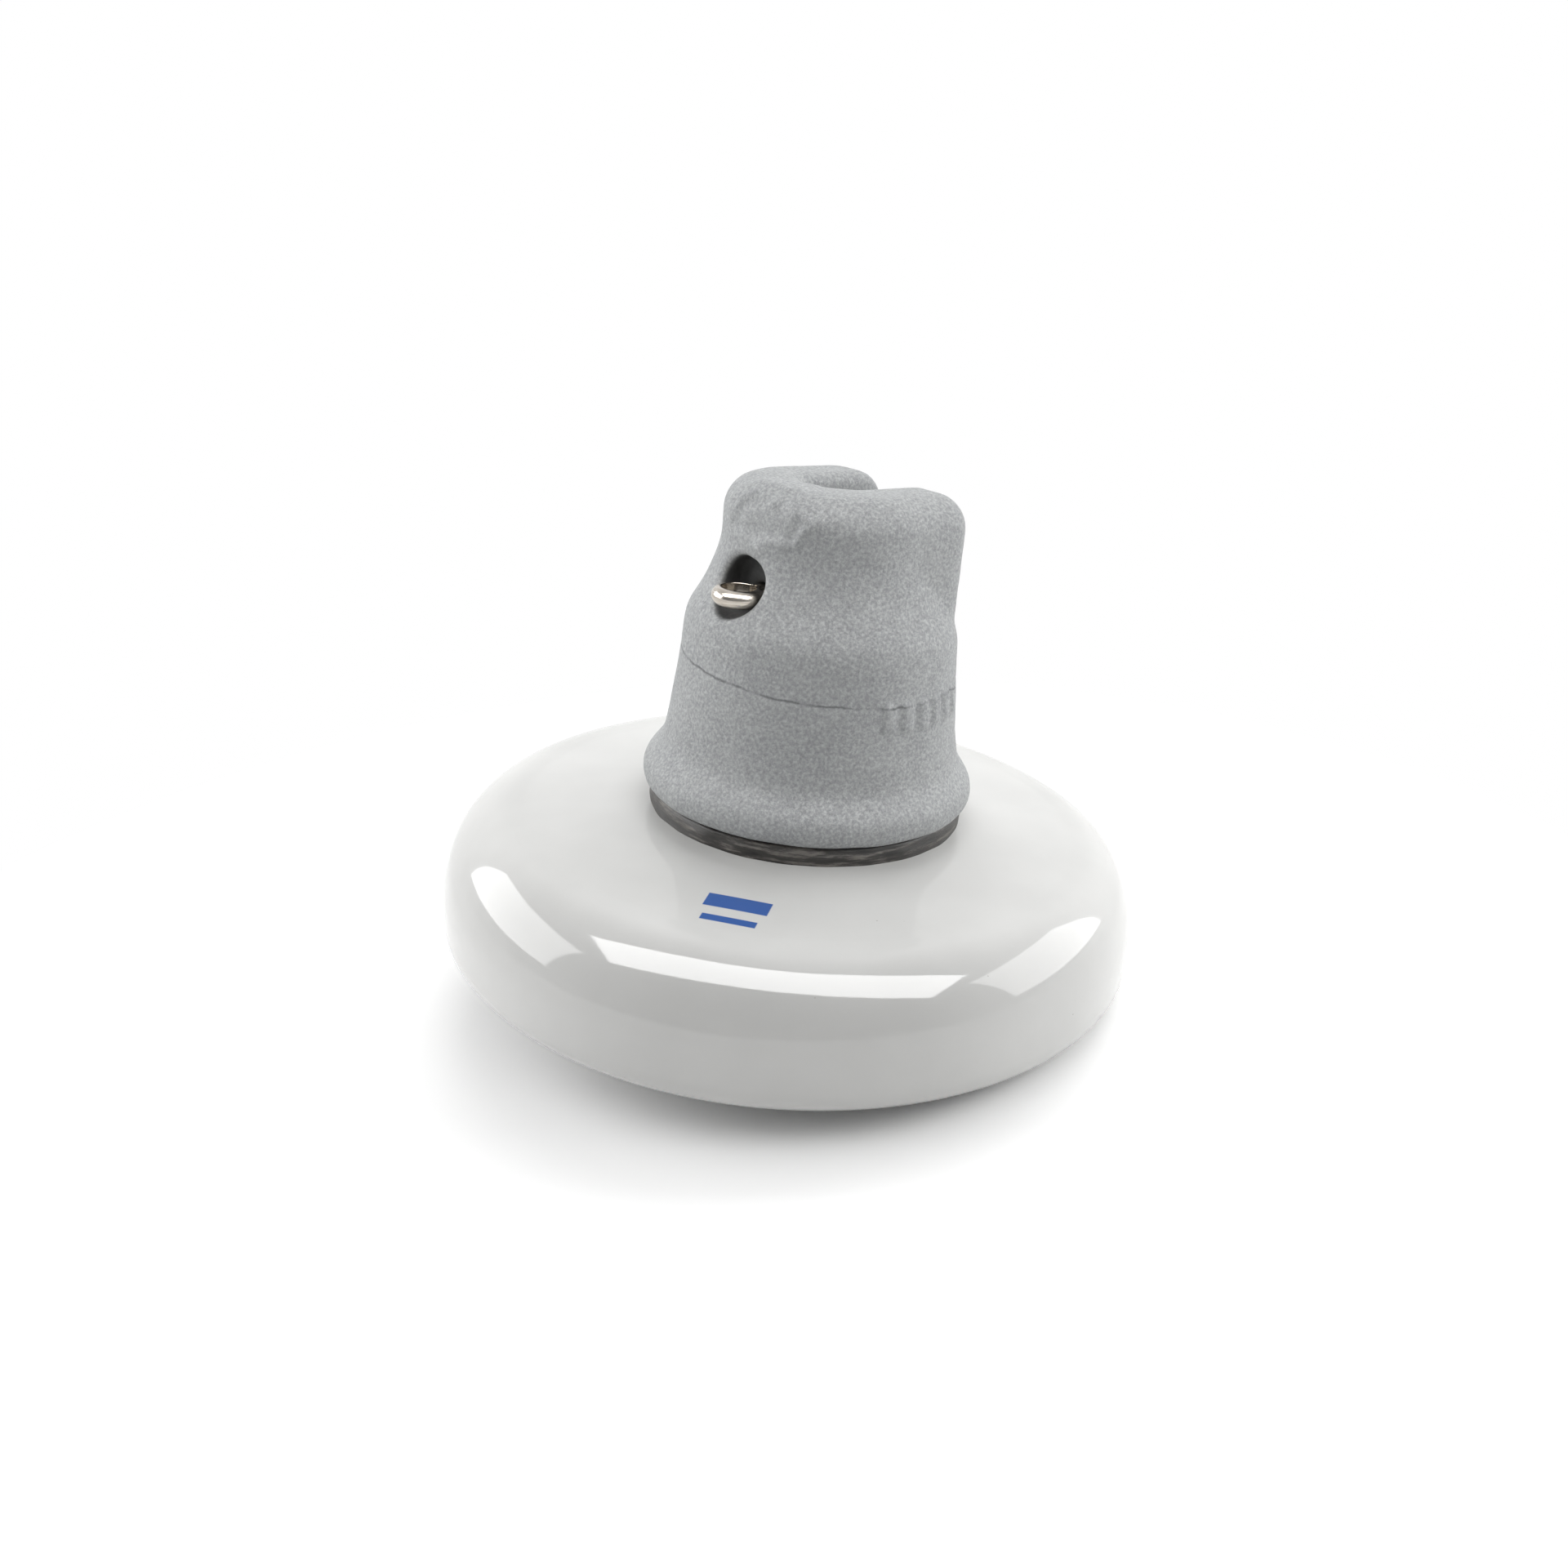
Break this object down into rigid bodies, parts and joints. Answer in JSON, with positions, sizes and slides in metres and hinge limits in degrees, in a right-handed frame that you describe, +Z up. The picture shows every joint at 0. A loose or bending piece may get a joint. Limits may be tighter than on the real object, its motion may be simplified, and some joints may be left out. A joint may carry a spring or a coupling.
{
  "type": "disc suspension insulator",
  "caption": "Cap-and-pin disc insulator unit: porcelain shell with ribbed underside, grey iron cap with ball socket and split pin, forged ball pin below.",
  "frame": {"origin": "socket datum: on the insulator's axis, in the plane of the largest diameter of a ball hanging in the cap's socket", "axes": "+Z up along the insulator's axis, +X towards the open side of the socket, -X towards the split pin's recess"},
  "size_m": [0.33, 0.33, 0.237],
  "materials": {
    "glaze": "gloss",
    "cast_iron": "matte",
    "forged_steel": "satin",
    "stainless": "polished",
    "cement": "matte",
    "cork": "matte",
    "bitumen": "satin"
  },
  "bodies": {
    "insulator": {"cap": "cast_iron", "porcelain_shell": "glaze", "pin": "forged_steel", "cap_cement": "cement", "pin_cement": "cement", "head_cushion": "cork", "pin_cushion": "cork", "cap_seal_ring": "bitumen", "pin_seal_ring": "bitumen"},
    "clip": {"split_pin": "stainless"}
  },
  "joints": [
    {"name": "split_pin_slide", "type": "slide", "parent": "insulator", "child": "clip", "axis": [-1, 0, 0], "range_m": [0, 0.038]}
  ]
}
